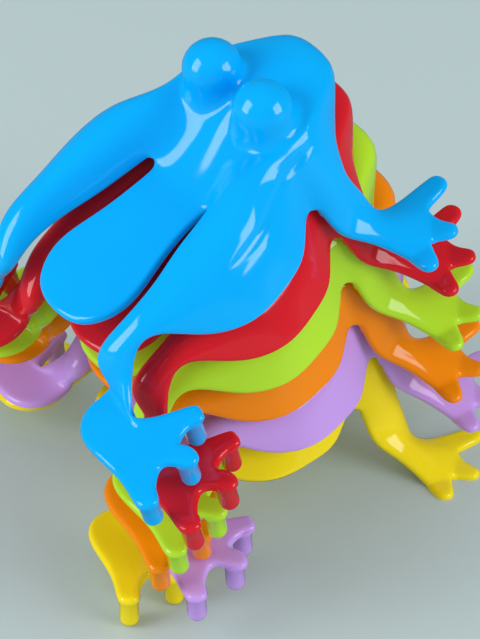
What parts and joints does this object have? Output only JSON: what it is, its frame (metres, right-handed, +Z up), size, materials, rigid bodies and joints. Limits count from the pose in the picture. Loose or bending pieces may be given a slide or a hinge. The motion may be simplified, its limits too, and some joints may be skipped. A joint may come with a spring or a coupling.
{
  "type": "jumping frog game",
  "caption": "Pile of nesting plastic jumping frogs, each a thin moulded shell with domed eyes, pegged toes and a springy tail tab that is pressed to make it hop.",
  "frame": {"origin": "on the ground, under the middle of the pile's bounding box", "axes": "+Z up; +Y the way the bottom frog looks; +X the bottom frog's right side"},
  "size_m": [0.122, 0.1352, 0.1168],
  "materials": {
    "yellow_plastic": "glossy",
    "lilac_plastic": "glossy",
    "orange_plastic": "glossy",
    "lime_plastic": "glossy",
    "red_plastic": "glossy",
    "blue_plastic": "glossy"
  },
  "bodies": {
    "yellow_frog": {"yellow_frog": "yellow_plastic"},
    "yellow_tail_tab": {"yellow_tail_tab": "yellow_plastic"},
    "lilac_frog": {"lilac_frog": "lilac_plastic"},
    "lilac_tail_tab": {"lilac_tail_tab": "lilac_plastic"},
    "orange_frog": {"orange_frog": "orange_plastic"},
    "orange_tail_tab": {"orange_tail_tab": "orange_plastic"},
    "lime_frog": {"lime_frog": "lime_plastic"},
    "lime_tail_tab": {"lime_tail_tab": "lime_plastic"},
    "red_frog": {"red_frog": "red_plastic"},
    "red_tail_tab": {"red_tail_tab": "red_plastic"},
    "blue_frog": {"blue_frog": "blue_plastic"},
    "blue_tail_tab": {"blue_tail_tab": "blue_plastic"}
  },
  "joints": [
    {"name": "yellow_tab_press", "type": "hinge", "parent": "yellow_frog", "child": "yellow_tail_tab", "pos_m": [-0.01065, 0.00942, 0.0245], "axis": [1, 0, 0], "range_deg": [0, 26], "stiffness_Nm_per_rad": 0.05},
    {"name": "lilac_lift_off", "type": "slide", "parent": "yellow_frog", "child": "lilac_frog", "axis": [0, 0, 1], "range_m": [0, 0.06]},
    {"name": "lilac_tab_press", "type": "hinge", "parent": "lilac_frog", "child": "lilac_tail_tab", "pos_m": [-0.00636, 0.00959, 0.03773], "axis": [0.9811, 0.1841, -0.059], "range_deg": [0, 1], "stiffness_Nm_per_rad": 0.05},
    {"name": "orange_lift_off", "type": "slide", "parent": "lilac_frog", "child": "orange_frog", "axis": [0, 0, 1], "range_m": [0, 0.06]},
    {"name": "orange_tab_press", "type": "hinge", "parent": "orange_frog", "child": "orange_tail_tab", "pos_m": [-0.00548, 0.00428, 0.05084], "axis": [0.9861, 0.1311, -0.1019], "range_deg": [0, 14], "stiffness_Nm_per_rad": 0.05},
    {"name": "lime_lift_off", "type": "slide", "parent": "orange_frog", "child": "lime_frog", "axis": [0, 0, 1], "range_m": [0, 0.06]},
    {"name": "lime_tab_press", "type": "hinge", "parent": "lime_frog", "child": "lime_tail_tab", "pos_m": [-0.00165, -0.00053, 0.0634], "axis": [0.9747, 0.2075, -0.0836], "range_deg": [0, 12], "stiffness_Nm_per_rad": 0.05},
    {"name": "red_lift_off", "type": "slide", "parent": "lime_frog", "child": "red_frog", "axis": [0, 0, 1], "range_m": [0, 0.06]},
    {"name": "red_tab_press", "type": "hinge", "parent": "red_frog", "child": "red_tail_tab", "pos_m": [0.00163, -0.0059, 0.0759], "axis": [0.9594, 0.2787, -0.0437], "range_deg": [0, 14], "stiffness_Nm_per_rad": 0.05},
    {"name": "blue_lift_off", "type": "slide", "parent": "red_frog", "child": "blue_frog", "axis": [0, 0, 1], "range_m": [0, 0.06]},
    {"name": "blue_tab_press", "type": "hinge", "parent": "blue_frog", "child": "blue_tail_tab", "pos_m": [0.00305, -0.01227, 0.08762], "axis": [0.9711, 0.225, -0.0798], "range_deg": [0, 15], "stiffness_Nm_per_rad": 0.05}
  ]
}
